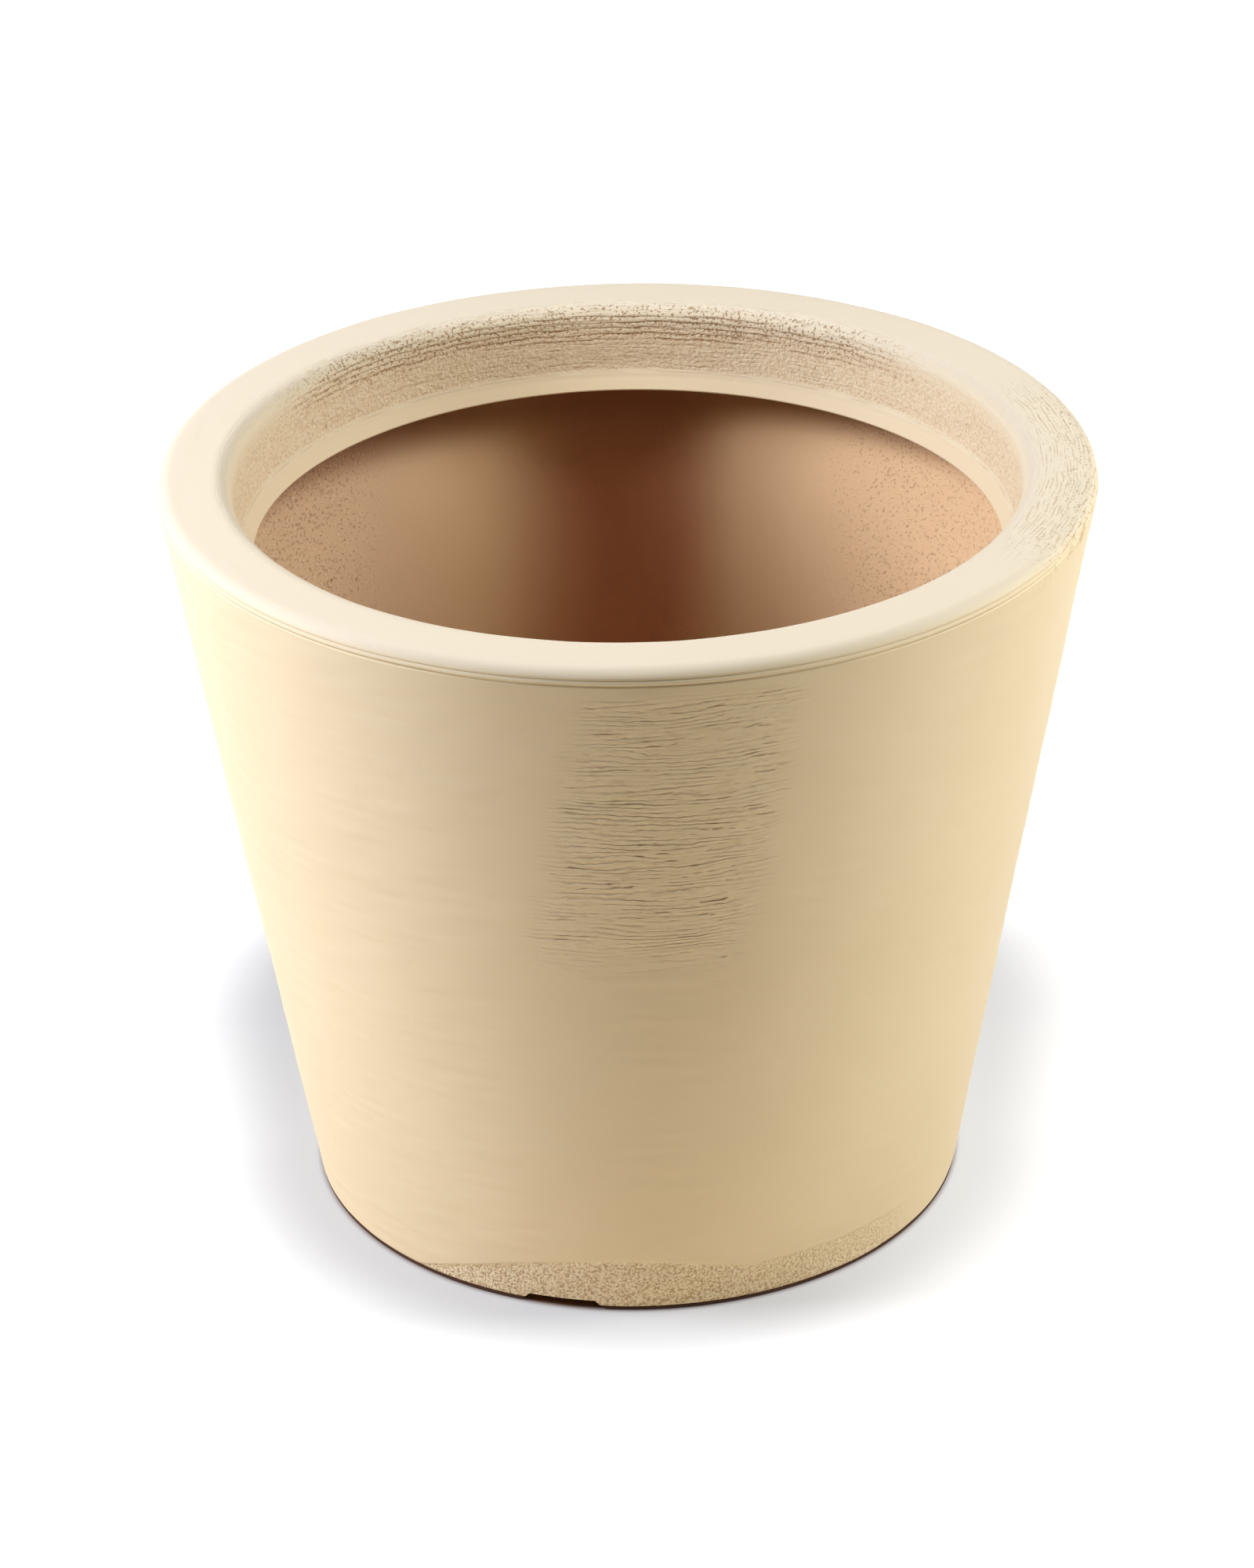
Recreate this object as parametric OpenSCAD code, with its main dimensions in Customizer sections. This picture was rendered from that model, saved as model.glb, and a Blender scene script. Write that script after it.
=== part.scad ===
// Conical flower pot with a rounded rim that turns down inside as a collar.
// A textured outer shell is bonded to a terracotta-coloured inner shell that carries the floor and the foot.
// Three drain holes in the floor are closed by rubber plugs, and three notches in the foot let the water out.

/* [Overall] */
// Largest outside diameter, at the rim
rim_d = 400; // [360:5:460]
// Outside diameter at the lower edge of the outer shell
base_d = 288; // [260:2:320]
// Height from the ground to the top of the rim
pot_h = 336; // [280:4:400]

/* [Outer shell] */
// Wall thickness of the outer shell
skin_t = 3; // [2:0.25:4]
// Radius that rounds the rim's outer edge
roll_r = 6; // [5:0.5:10]
// Radius that rounds the rim's inner edge
lip_r = 8; // [6:0.5:11]
// Inside diameter at the lower edge of the collar
throat_d = 320; // [300:2:330]
// Height of the collar, from its lower edge to the top of the rim
collar_h = 38; // [30:1:50]
// Lean of the collar's face from the vertical, in degrees
collar_lean = 9; // [6:1:16]
// Height of the smooth bead along the collar's lower edge
bead_h = 7; // [4:0.5:10]
// Lean of the bead's face from the vertical, in degrees
bead_lean = 32; // [22:1:40]
// Radius of the seam lines that run round the pot just under the rim
seam_r = 0.5; // [0.3:0.1:0.8]
// Depth of the first seam line below the top of the rim
seam_drop = 5; // [4:0.25:8]
// Distance between the two seam lines
seam_pitch = 2.5; // [2:0.25:5]

/* [Inner shell] */
// Wall thickness of the inner shell
lining_t = 4; // [3:0.25:6]
// Thickness of the floor
floor_t = 6; // [5:0.5:9]
// Height of the hollow under the floor
recess_h = 7; // [6:0.5:10]
// Radial width of the foot ring
ring_w = 14; // [11:1:20]
// Thickness of the foot's edge that shows below the outer shell
foot_t = 2; // [1:0.25:3]
// Distance that the foot's edge is set back from the outer shell
foot_set = 0.6; // [0.2:0.1:1]
// Radius between the floor and the wall, inside
floor_fillet = 10; // [5:1:14]
// Radius between the foot ring and the underside of the floor
ring_fillet = 4; // [2:0.5:5]

/* [Drain] */
// Number of drain holes, plugs and notches
drain_count = 3; // [3]
// Diameter of the circle that the drain holes lie on
drain_pcd = 176; // [130:2:190]
// Diameter of a drain hole
hole_d = 22; // [18:0.5:26]
// Depth of the round seat in the floor that takes a plug's flange
seat_depth = 2; // [1:0.25:2.5]
// Clearance between a plug's flange and the side of its seat
seat_gap = 1; // [0.5:0.25:2]
// Width of a foot notch at the ground
notch_w = 38; // [32:1:50]
// Width of a foot notch at its top
notch_top_w = 29; // [20:1:31]
// Height of a foot notch
notch_h = 4.8; // [3.5:0.1:6]

/* [Plugs] */
// Diameter of a plug's flange
flange_d = 32; // [29:0.5:36]
// Thickness of a plug's flange
flange_t = 3; // [2.5:0.25:4]
// Radius that rounds the upper edge of a plug's flange
flange_round = 1.2; // [0.5:0.1:2]
// Clearance between a plug's ribs and its hole, on the radius
plug_gap = 0.1; // [0.05:0.05:0.4]
// Length of a plug's shank below its flange
shank_l = 8; // [6:0.5:9]
// Depth of the groove between a plug's ribs, on the radius
rib_depth = 0.8; // [0.4:0.1:1.2]
// Height of each rib round a plug's shank
rib_h = 1.6; // [1:0.1:2]
// Diameter of the hollow in a plug's underside
core_d = 13; // [8:0.5:14]
// Thickness of rubber left above the hollow, measured down from the flange's upper face
core_roof = 3.5; // [3:0.25:5]
// Width of a plug's pull tab
tab_w = 18; // [12:1:20]
// Thickness of a plug's pull tab
tab_t = 4; // [3:0.25:6]
// Height of a plug's pull tab above its flange
tab_h = 9; // [6:0.5:12]
// Radius of the pull tab's upper corners
tab_round = 4; // [2:0.5:5]

/* [Hidden] */
$fn = 96;

// Gap between the bonded faces of the two shells
bond_gap = 0.1;
// Smallest radius that an inside corner keeps
least_round = 0.5;
// Radius that softens the lower edge of the outer shell
hem_r = 1;
// Length by which a cut runs past the material
overrun = 5;
// Direction of the first drain hole and notch, seen from above
first_drain_a = -90;
// Full turn, divided evenly among the drains
drain_step_a = 360 / drain_count;

// The wall is a straight line from the lower edge that touches the rim's outer round.
roll_c = [rim_d / 2 - roll_r, pot_h - roll_r];
wall_foot = [base_d / 2, foot_t];
wall_rise = roll_c - wall_foot;
wall_lean = atan2(wall_rise[0], wall_rise[1]) + asin(roll_r / norm(wall_rise));

// The collar runs from the bead's top to the rim's inner round.
collar_z = pot_h - collar_h;
bead_top = [throat_d / 2 + bead_h * tan(bead_lean), collar_z + bead_h];

// Faces of the inner shell, measured inwards from the outside
lining_face = skin_t + bond_gap;
cavity_face = lining_face + lining_t;
floor_z = recess_h + floor_t;
seat_z = floor_z - seat_depth;
ring_in_r = base_d / 2 - ring_w;

// Radius of the wall's plane at height z, a distance inset in from the outside
function wall_r(z, inset) = wall_foot[0] + (z - wall_foot[1]) * tan(wall_lean) - inset / cos(wall_lean);
// Radius of the pot's outside at height z, on the wall or on the rim's outer round
function outside_r(z) = z < roll_c[1] - roll_r * sin(wall_lean)
    ? wall_r(z, 0)
    : roll_c[0] + sqrt(roll_r * roll_r - (z - roll_c[1]) * (z - roll_c[1]));
// Radius of the collar at height z, a distance inset behind its face
function collar_r(z, inset) = bead_top[0] + (z - bead_top[1]) * tan(collar_lean) + inset / cos(collar_lean);
// Radius of the bead at height z, a distance inset behind its face
function bead_r(z, inset) = bead_top[0] + (z - bead_top[1]) * tan(bead_lean) + inset / cos(bead_lean);
// Radius of a rounded corner after an inset
function rounded(radius, inset) = max(radius - inset, least_round);
// Height at which the inset faces of the collar and the bead meet
function bead_top_z(inset) = bead_top[1]
    + inset * (1 / cos(collar_lean) - 1 / cos(bead_lean)) / (tan(bead_lean) - tan(collar_lean));
// Centres of the rim's outer and inner rounds after an inset
function roll_centre(inset) = let (r = rounded(roll_r, inset), z = pot_h - inset - r)
    [wall_r(z, inset) - r / cos(wall_lean), z];
function lip_centre(inset) = let (r = rounded(lip_r, inset), z = pot_h - inset - r)
    [collar_r(z, inset) + r / cos(collar_lean), z];

// Half of the pot's section inside the face that lies a distance inset in from the outside, above height low_z
module section_inside(inset, low_z) {
    roll = roll_centre(inset);
    roll_round = rounded(roll_r, inset);
    lip = lip_centre(inset);
    lip_round = rounded(lip_r, inset);
    bend_z = bead_top_z(inset);
    difference() {
        union() {
            polygon([
                [0, low_z],
                [wall_r(low_z, inset), low_z],
                roll + roll_round * [cos(wall_lean), -sin(wall_lean)],
                roll,
                roll + [0, roll_round],
                [0, pot_h - inset],
            ]);
            translate(roll) circle(r = roll_round);
        }
        difference() {
            polygon([
                [0, collar_z],
                [bead_r(collar_z, inset), collar_z],
                [collar_r(bend_z, inset), bend_z],
                lip + lip_round * [-cos(collar_lean), sin(collar_lean)],
                lip,
                lip + [0, lip_round],
                lip + [0, lip_round + overrun],
                [0, pot_h + overrun],
            ]);
            translate(lip) circle(r = lip_round);
        }
    }
}

// Two fine lines round the pot, just under the rim
module seam_lines() {
    for (i = [0:1]) {
        z = pot_h - seam_drop - i * seam_pitch;
        translate([outside_r(z), z]) circle(r = seam_r);
    }
}

// Material that is taken off to round the outer shell's lower edge
module hem_cut() {
    hem_c = [wall_r(foot_t + hem_r, 0) - hem_r / cos(wall_lean), foot_t + hem_r];
    difference() {
        polygon([
            [hem_c[0], foot_t - overrun],
            [hem_c[0] + overrun, foot_t - overrun],
            hem_c + [overrun, 0],
            hem_c + hem_r * [cos(wall_lean), -sin(wall_lean)],
            hem_c,
        ]);
        translate(hem_c) circle(r = hem_r);
    }
}

// Concave round between the floor and the wall, inside the inner shell
module floor_round() {
    centre = [wall_r(floor_z + floor_fillet, cavity_face) - floor_fillet / cos(wall_lean), floor_z + floor_fillet];
    wall_point = centre + floor_fillet * [cos(wall_lean), -sin(wall_lean)];
    difference() {
        polygon([
            [centre[0], floor_z - floor_t / 2],
            [wall_r(floor_z, cavity_face), floor_z - floor_t / 2],
            wall_point + [lining_t / 2, 0],
            wall_point,
            centre,
        ]);
        translate(centre) circle(r = floor_fillet);
    }
}

// Hollow under the floor, inside the foot ring
module under_floor() {
    translate([0, -overrun]) square([ring_in_r - ring_fillet, recess_h + overrun]);
    translate([0, -overrun]) square([ring_in_r, recess_h - ring_fillet + overrun]);
    translate([ring_in_r - ring_fillet, recess_h - ring_fillet]) circle(r = ring_fillet);
}

// Puts its children at drain number i, turned so that +X points outwards
module at_drain(i) {
    rotate([0, 0, first_drain_a + i * drain_step_a]) children();
}

// Channel with slanted ends through the foot, along +X
module foot_notch() {
    translate([ring_in_r - overrun, 0, 0])
        rotate([90, 0, 90])
            linear_extrude(height = ring_w + 2 * overrun)
                polygon([
                    [-notch_w / 2, -overrun],
                    [notch_w / 2, -overrun],
                    [notch_w / 2, 0],
                    [notch_top_w / 2, notch_h],
                    [-notch_top_w / 2, notch_h],
                    [-notch_w / 2, 0],
                ]);
}

// Textured outer shell: wall, rounded rim and collar in one moulding
module outer_shell() {
    color("#ecdcb4")
        difference() {
            rotate_extrude()
                difference() {
                    section_inside(0, foot_t);
                    section_inside(skin_t, foot_t - overrun);
                    seam_lines();
                    hem_cut();
                }
            for (i = [0:drain_count - 1]) at_drain(i) foot_notch();
        }
}

// Inner shell: lining of the wall, rim and collar, with the floor, the foot ring and the drain holes
module inner_shell() {
    color("#b97f58")
        difference() {
            rotate_extrude()
                difference() {
                    union() {
                        difference() {
                            section_inside(lining_face, 0);
                            section_inside(cavity_face, floor_z);
                        }
                        floor_round();
                        translate([ring_in_r, 0]) square([ring_w - foot_set, foot_t]);
                    }
                    under_floor();
                }
            for (i = [0:drain_count - 1])
                at_drain(i) {
                    foot_notch();
                    translate([drain_pcd / 2, 0, 0]) cylinder(d = hole_d, h = floor_z + overrun);
                    translate([drain_pcd / 2, 0, seat_z])
                        cylinder(d = flange_d + 2 * seat_gap, h = seat_depth + overrun);
                }
        }
}

// Half section of a plug: flange with a rounded edge over a shank with two ribs
module plug_section() {
    rib_r = hole_d / 2 - plug_gap;
    neck_r = rib_r - rib_depth;
    low_rib_z = rib_h - shank_l;
    square([flange_d / 2 - flange_round, flange_t]);
    square([flange_d / 2, flange_t - flange_round]);
    translate([flange_d / 2 - flange_round, flange_t - flange_round]) circle(r = flange_round);
    polygon([
        [0, -shank_l],
        [neck_r, -shank_l],
        [rib_r, low_rib_z],
        [rib_r, low_rib_z + rib_h],
        [neck_r, low_rib_z + rib_h],
        [neck_r, -rib_h],
        [rib_r, -rib_h],
        [rib_r, 0],
        [0, 0],
    ]);
}

// Upright tab with rounded upper corners, to pull a plug by
module pull_tab() {
    rotate([90, 0, 90])
        translate([0, 0, -tab_t / 2])
            linear_extrude(height = tab_t) {
                translate([-tab_w / 2, 0]) square([tab_w, tab_h - tab_round]);
                translate([tab_round - tab_w / 2, 0]) square([tab_w - 2 * tab_round, tab_h]);
                for (side = [-1, 1])
                    translate([side * (tab_w / 2 - tab_round), tab_h - tab_round]) circle(r = tab_round);
            }
}

// Rubber plug in drain hole number i, hollow from below
module drain_plug(i) {
    color("#4a4540")
        at_drain(i)
            translate([drain_pcd / 2, 0, seat_z])
                difference() {
                    union() {
                        rotate_extrude() plug_section();
                        translate([0, 0, flange_t]) pull_tab();
                    }
                    translate([0, 0, -shank_l - overrun])
                        cylinder(d = core_d, h = shank_l + flange_t - core_roof + overrun);
                }
}

outer_shell();
inner_shell();
drain_plug(0);  // drain_plug_front
drain_plug(1);  // drain_plug_right
drain_plug(2);  // drain_plug_left
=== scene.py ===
"""Looks of a conical flower pot: combed cream shell, terracotta-coloured lining and rubber drain plugs."""

import math

import bmesh
import bpy
from mathutils import Matrix, Vector


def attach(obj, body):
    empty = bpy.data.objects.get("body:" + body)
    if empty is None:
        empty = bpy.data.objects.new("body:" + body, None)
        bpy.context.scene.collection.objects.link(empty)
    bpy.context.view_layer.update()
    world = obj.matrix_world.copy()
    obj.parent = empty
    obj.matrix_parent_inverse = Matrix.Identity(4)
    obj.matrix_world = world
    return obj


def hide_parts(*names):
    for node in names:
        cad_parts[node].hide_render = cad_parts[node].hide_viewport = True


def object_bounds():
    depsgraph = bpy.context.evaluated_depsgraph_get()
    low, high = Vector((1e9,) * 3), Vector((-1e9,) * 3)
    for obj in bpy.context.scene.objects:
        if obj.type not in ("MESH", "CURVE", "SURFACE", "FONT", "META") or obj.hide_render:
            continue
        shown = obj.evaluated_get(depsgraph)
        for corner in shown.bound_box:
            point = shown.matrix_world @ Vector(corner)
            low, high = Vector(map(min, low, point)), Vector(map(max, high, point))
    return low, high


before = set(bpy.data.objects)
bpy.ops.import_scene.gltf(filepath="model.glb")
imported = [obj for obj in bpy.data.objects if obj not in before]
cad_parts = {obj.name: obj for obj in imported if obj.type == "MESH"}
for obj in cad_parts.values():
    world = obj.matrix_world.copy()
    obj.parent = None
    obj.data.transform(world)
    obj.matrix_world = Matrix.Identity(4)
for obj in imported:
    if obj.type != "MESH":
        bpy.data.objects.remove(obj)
cad_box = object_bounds()

# Sizes of the pot, in metres
MM = 0.001
pot_high = cad_box[1]
pot_h = pot_high.z
rim_r = pot_high.y
base_r = 144 * MM
skin_t = 3 * MM
roll_r = 6 * MM
lip_r = 8 * MM
lip_edge_r = 176 * MM
throat_r = 160 * MM
collar_h = 38 * MM
collar_lean = math.radians(9)
bead_h = 7 * MM
bead_lean = math.radians(32)
bead_round = 1.5 * MM
seam_count = 2
seam_drop = 5 * MM
seam_pitch = 2.5 * MM
seam_w = 0.45 * MM
seam_depth = 0.55 * MM
hem_r = 1 * MM

lining_face = 3.1 * MM
cavity_face = 7.1 * MM
foot_t = 2 * MM
foot_set = 0.6 * MM
recess_h = 7 * MM
floor_z = 13 * MM
floor_fillet = 10 * MM
ring_in_r = 130 * MM
ring_fillet = 4 * MM
edge_round = 0.6 * MM

drain_count = 3
first_drain_a = math.radians(-90)
drain_r = 88 * MM
hole_r = 11 * MM
seat_r = 17 * MM
seat_z = 11 * MM
notch_w = 38 * MM
notch_top_w = 29 * MM
notch_h = 4.8 * MM
notch_round = 1.2 * MM

flange_r = 16 * MM
flange_t = 3 * MM
flange_round = 1.2 * MM
shank_l = 8 * MM
rib_r = 10.9 * MM
rib_depth = 0.8 * MM
rib_h = 1.6 * MM
core_r = 6.5 * MM
core_top = -0.5 * MM
tab_w = 18 * MM
tab_t = 4 * MM
tab_h = 9 * MM
tab_round = 4 * MM

# Patterns on the cream shell
comb_pitch = 2.3 * MM
crease_pitch = 2.6 * MM
sweep_pitch = 1.7 * MM
foot_band_h = 27 * MM

# The photograph's camera, fitted to the pot's outline
camera_turn = math.radians(13.7)
camera_distance = 2.1274
camera_height = 1.3005
camera_pitch = 0.4846
camera_roll = -0.0174
camera_pan = -0.0011
camera_focal_px = 7000
photo_h_px = 2000
sensor = 36
lamp_distance = 1.6

# Longest edge along faces that don't show, and the angle that points straight up in a section
hidden_step = 14 * MM
UP = math.pi / 2


# The pot's section

def arc_points(centre, radius, start, stop, step):
    """Points along an arc, with its angles in radians, at most step apart."""
    count = max(2, math.ceil(abs(stop - start) * radius / step))
    angles = [start + (stop - start) * i / count for i in range(count + 1)]
    return [(centre[0] + radius * math.cos(a), centre[1] + radius * math.sin(a)) for a in angles]


class Section:
    """Outline of a turned piece: radius, height and how strongly the surface is textured, point by point."""

    def __init__(self, r, z):
        self.rows = [(r, z, 0.0)]

    def line(self, r, z, step, texture=0.0):
        r0, z0, _ = self.rows[-1]
        count = max(1, math.ceil(math.hypot(r - r0, z - z0) / step))
        for i in range(1, count + 1):
            self.rows.append((r0 + (r - r0) * i / count, z0 + (z - z0) * i / count, texture))

    def arc(self, centre, radius, start, stop, step, texture=0.0):
        points = arc_points(centre, radius, start, stop, step)
        if math.dist(points[0], self.rows[-1][:2]) < step / 10:
            points = points[1:]
        self.rows += [(r, z, texture) for r, z in points]


# The wall is a straight line that touches the rim's outer round.
roll_c = (rim_r - roll_r, pot_h - roll_r)
wall_rise = (roll_c[0] - base_r, roll_c[1] - foot_t)
wall_lean = math.atan2(*wall_rise) + math.asin(roll_r / math.hypot(*wall_rise))
collar_z = pot_h - collar_h
bead_top = (throat_r + bead_h * math.tan(bead_lean), collar_z + bead_h)


def wall_at(z, inset=0.0):
    return base_r + (z - foot_t) * math.tan(wall_lean) - inset / math.cos(wall_lean)


def collar_at(z, inset=0.0):
    return bead_top[0] + (z - bead_top[1]) * math.tan(collar_lean) + inset / math.cos(collar_lean)


def bead_at(z, inset=0.0):
    return bead_top[0] + (z - bead_top[1]) * math.tan(bead_lean) + inset / math.cos(bead_lean)


def roll_at(inset):
    """Radius and centre of the rim's outer round after an inset."""
    r = max(roll_r - inset, edge_round)
    z = pot_h - inset - r
    return r, (wall_at(z, inset) - r / math.cos(wall_lean), z)


def lip_at(inset):
    """Radius and centre of the rim's inner round after an inset."""
    r = max(lip_r - inset, edge_round)
    z = pot_h - inset - r
    return r, (collar_at(z, inset) + r / math.cos(collar_lean), z)


def bend_at(inset):
    """Height at which the inset faces of the collar and the bead meet."""
    spread = 1 / math.cos(collar_lean) - 1 / math.cos(bead_lean)
    return bead_top[1] + inset * spread / (math.tan(bead_lean) - math.tan(collar_lean))


def seam_inset(z):
    """Depth of the seam lines at height z."""
    depth = 0.0
    for i in range(seam_count):
        away = (z - (pot_h - seam_drop - i * seam_pitch)) / seam_w
        depth += seam_depth * math.exp(-away * away)
    return depth


def over_rim(section, inset):
    """Carries a hidden face up from the collar, over inside the rim and down the wall to the foot."""
    r, centre = lip_at(inset)
    section.line(centre[0] - r * math.cos(collar_lean), centre[1] + r * math.sin(collar_lean), hidden_step)
    section.arc(centre, r, math.pi - collar_lean, UP, 3 * MM)
    r, centre = roll_at(inset)
    section.line(centre[0], centre[1] + r, hidden_step)
    section.arc(centre, r, UP, -wall_lean, 2 * MM)
    section.line(wall_at(foot_t, inset), foot_t, hidden_step)


def outer_section():
    wall_step, collar_step, fine_step = 1.3 * MM, 1.1 * MM, 0.35 * MM
    seam_zone_z = pot_h - seam_drop - seam_pitch - 3 * seam_w
    hem_c = (wall_at(foot_t + hem_r) - hem_r / math.cos(wall_lean), foot_t + hem_r)
    section = Section(wall_at(foot_t, skin_t), foot_t)
    section.line(hem_c[0], foot_t, 1 * MM)
    section.arc(hem_c, hem_r, -UP, -wall_lean, fine_step, 1)
    section.line(wall_at(seam_zone_z), seam_zone_z, wall_step, 1)
    tangent_z = roll_c[1] - roll_r * math.sin(wall_lean)
    section.line(wall_at(tangent_z), tangent_z, fine_step, 1)
    section.arc(roll_c, roll_r, -wall_lean, UP, 0.5 * MM, 0.5)
    r, lip_c = lip_at(0)
    section.line(lip_c[0], pot_h, 1.5 * MM, 0.4)
    section.arc(lip_c, r, UP, math.pi - collar_lean, 1 * MM, 0.7)
    above, below = bead_top[1] + bead_round, bead_top[1] - bead_round
    section.line(collar_at(above), above, collar_step, 1)
    section.line(bead_at(below), below, collar_step, 0.3)
    section.line(bead_at(collar_z + edge_round), collar_z + edge_round, collar_step, 0.1)
    section.line(bead_at(collar_z) + edge_round, collar_z, 0.5 * MM)
    section.line(bead_at(collar_z, skin_t), collar_z, 1 * MM)
    bend_z = bend_at(skin_t)
    section.line(collar_at(bend_z, skin_t), bend_z, hidden_step)
    over_rim(section, skin_t)
    section.rows = [(r - (seam_inset(z) if r > lip_c[0] else 0), z, t) for r, z, t in section.rows]
    return section


def inner_section():
    section = Section(0, floor_z)
    fillet_z = floor_z + floor_fillet
    fillet_c = (wall_at(fillet_z, cavity_face) - floor_fillet / math.cos(wall_lean), fillet_z)
    section.line(fillet_c[0], floor_z, 6 * MM, 0.6)
    section.arc(fillet_c, floor_fillet, -UP, -wall_lean, 2 * MM, 0.6)
    r, centre = roll_at(cavity_face)
    section.line(centre[0] + r * math.cos(wall_lean), centre[1] - r * math.sin(wall_lean), 3 * MM, 1)
    section.arc(centre, r, -wall_lean, UP, 0.3 * MM)
    r, centre = lip_at(cavity_face)
    section.line(centre[0], centre[1] + r, 3 * MM)
    section.arc(centre, r, UP, math.pi - collar_lean, 0.3 * MM)
    cavity_bend_z, lining_bend_z = bend_at(cavity_face), bend_at(lining_face)
    section.line(collar_at(cavity_bend_z, cavity_face), cavity_bend_z, 4 * MM)
    section.line(bead_at(collar_z, cavity_face), collar_z, 4 * MM)
    section.line(bead_at(collar_z, lining_face), collar_z, 4 * MM)
    section.line(collar_at(lining_bend_z, lining_face), lining_bend_z, 4 * MM)
    over_rim(section, lining_face)
    foot_r = base_r - foot_set
    section.line(foot_r - edge_round, foot_t, 1 * MM)
    section.line(foot_r, foot_t - edge_round / 2, 1 * MM)
    section.line(foot_r, edge_round, 1 * MM)
    section.line(foot_r - edge_round, 0, 1 * MM)
    section.line(ring_in_r + edge_round, 0, 3 * MM)
    section.line(ring_in_r, edge_round, 1 * MM)
    section.line(ring_in_r, recess_h - ring_fillet, 2 * MM)
    section.arc((ring_in_r - ring_fillet, recess_h - ring_fillet), ring_fillet, 0, UP, 1 * MM)
    section.line(0, recess_h, 6 * MM)
    return section


def plug_section():
    """The flange, the shank with a rib at each end, and the hollow below; z is 0 under the flange."""
    neck_r = rib_r - rib_depth
    chamfer = edge_round / 2
    flange_c = (flange_r - flange_round, flange_t - flange_round)
    low_rib_z = 2 * rib_h - shank_l
    section = Section(0, flange_t)
    section.line(flange_c[0], flange_t, 4 * MM)
    section.arc(flange_c, flange_round, UP, 0, 0.3 * MM)
    section.line(flange_r, edge_round, 1 * MM)
    section.line(flange_r - edge_round, 0, 1 * MM)
    section.line(rib_r, 0, 2 * MM)
    for r, z in (
        (rib_r, chamfer - rib_h), (rib_r - chamfer, -rib_h), (neck_r, -rib_h), (neck_r, low_rib_z),
        (rib_r - chamfer, low_rib_z), (rib_r, low_rib_z - chamfer), (rib_r, rib_h - shank_l),
        (neck_r, -shank_l), (core_r, -shank_l),
    ):
        section.line(r, z, 1 * MM)
    section.line(core_r, core_top, 2 * MM)
    section.line(0, core_top, 3 * MM)
    return section


# Node trees

class Socket:
    """An output of a node tree on which Python's operators add Math nodes."""

    def __init__(self, tree, link):
        self.tree = tree
        self.link = link

    def maths(self, operation, *others):
        return self.tree.node("ShaderNodeMath", {"operation": operation}, [self, *others])

    def __add__(self, other):
        return self.maths("ADD", other)

    __radd__ = __add__

    def __sub__(self, other):
        return self.maths("SUBTRACT", other)

    def __rsub__(self, other):
        return self.tree.node("ShaderNodeMath", {"operation": "SUBTRACT"}, [other, self])

    def __mul__(self, other):
        return self.maths("MULTIPLY", other)

    __rmul__ = __mul__

    def __truediv__(self, other):
        return self.maths("DIVIDE", other)

    def __neg__(self):
        return self * -1

    def above(self, low, high):
        """0 below low, 1 above high and smooth between them, or the other way round where low is higher."""
        settings = {"interpolation_type": "SMOOTHSTEP"}
        if low < high:
            return self.tree.node("ShaderNodeMapRange", settings,
                                  {"Value": self, "From Min": low, "From Max": high})
        return 1 - self.above(high, low)

    def within(self, outer, inner):
        """1 nearer to zero than inner, 0 farther from it than outer and smooth between them."""
        return self.maths("ABSOLUTE").above(outer, inner)

    def most(self, other):
        return self.maths("MAXIMUM", other)

    def least(self, other):
        return self.maths("MINIMUM", other)


class Tree:
    """A shader or geometry node tree that is written as expressions."""

    def __init__(self, group):
        self.group = group

    def node(self, kind, settings=None, sockets=None, output=0):
        made = self.group.nodes.new(kind)
        for name, value in (settings or {}).items():
            setattr(made, name, value)
        pairs = sockets.items() if isinstance(sockets, dict) else enumerate(sockets or [])
        for key, value in pairs:
            if isinstance(value, Socket):
                self.group.links.new(value.link, made.inputs[key])
            else:
                made.inputs[key].default_value = value
        return Socket(self, made.outputs[output])

    def vector(self, x, y, z):
        return self.node("ShaderNodeCombineXYZ", None, [x, y, z])

    def split(self, vector):
        """The three numbers of a vector."""
        parts = self.node("ShaderNodeSeparateXYZ", None, [vector])
        return [Socket(self, o) for o in parts.link.node.outputs]

    def noise(self, vector, scale=1.0, detail=2.0, roughness=0.5, seed=0.0):
        """Noise from 0 to 1 that doesn't change between runs."""
        return self.node("ShaderNodeTexNoise", {"noise_dimensions": "4D"},
                         {"Vector": vector, "W": seed, "Scale": scale, "Detail": detail,
                          "Roughness": roughness})

    def mix(self, share, a, b):
        """Colour a where share is 0 and b where it is 1."""
        made = self.group.nodes.new("ShaderNodeMix")
        made.data_type = "RGBA"
        factor, colour_a, colour_b, colour_out = 0, 6, 7, 2
        for key, value in ((factor, share), (colour_a, a), (colour_b, b)):
            if isinstance(value, Socket):
                self.group.links.new(value.link, made.inputs[key])
            else:
                made.inputs[key].default_value = value
        return Socket(self, made.outputs[colour_out])


def colour(r, g, b):
    return (r, g, b, 1.0)


def new_material(name):
    """A material with its tree and its Principled shader, both empty of colour."""
    material = bpy.data.materials.new(name)
    material.use_nodes = True
    return material, Tree(material.node_tree), material.node_tree.nodes["Principled BSDF"]


def finish_material(tree, shader, base, roughness, height, specular=0.5):
    """Joins the base colour, the roughness and a height in metres to the shader."""
    links = tree.group.links
    links.new(base.link, shader.inputs["Base Color"])
    if isinstance(roughness, Socket):
        links.new(roughness.link, shader.inputs["Roughness"])
    else:
        shader.inputs["Roughness"].default_value = roughness
    shader.inputs["Specular IOR Level"].default_value = specular
    bump = tree.node("ShaderNodeBump", None, {"Strength": 1.0, "Distance": 1.0, "Height": height})
    links.new(bump.link, shader.inputs["Normal"])


def object_place(tree):
    return tree.node("ShaderNodeTexCoord", output="Object")


def attribute(tree, name):
    return tree.node("ShaderNodeAttribute", {"attribute_name": name}, output="Fac")


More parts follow.
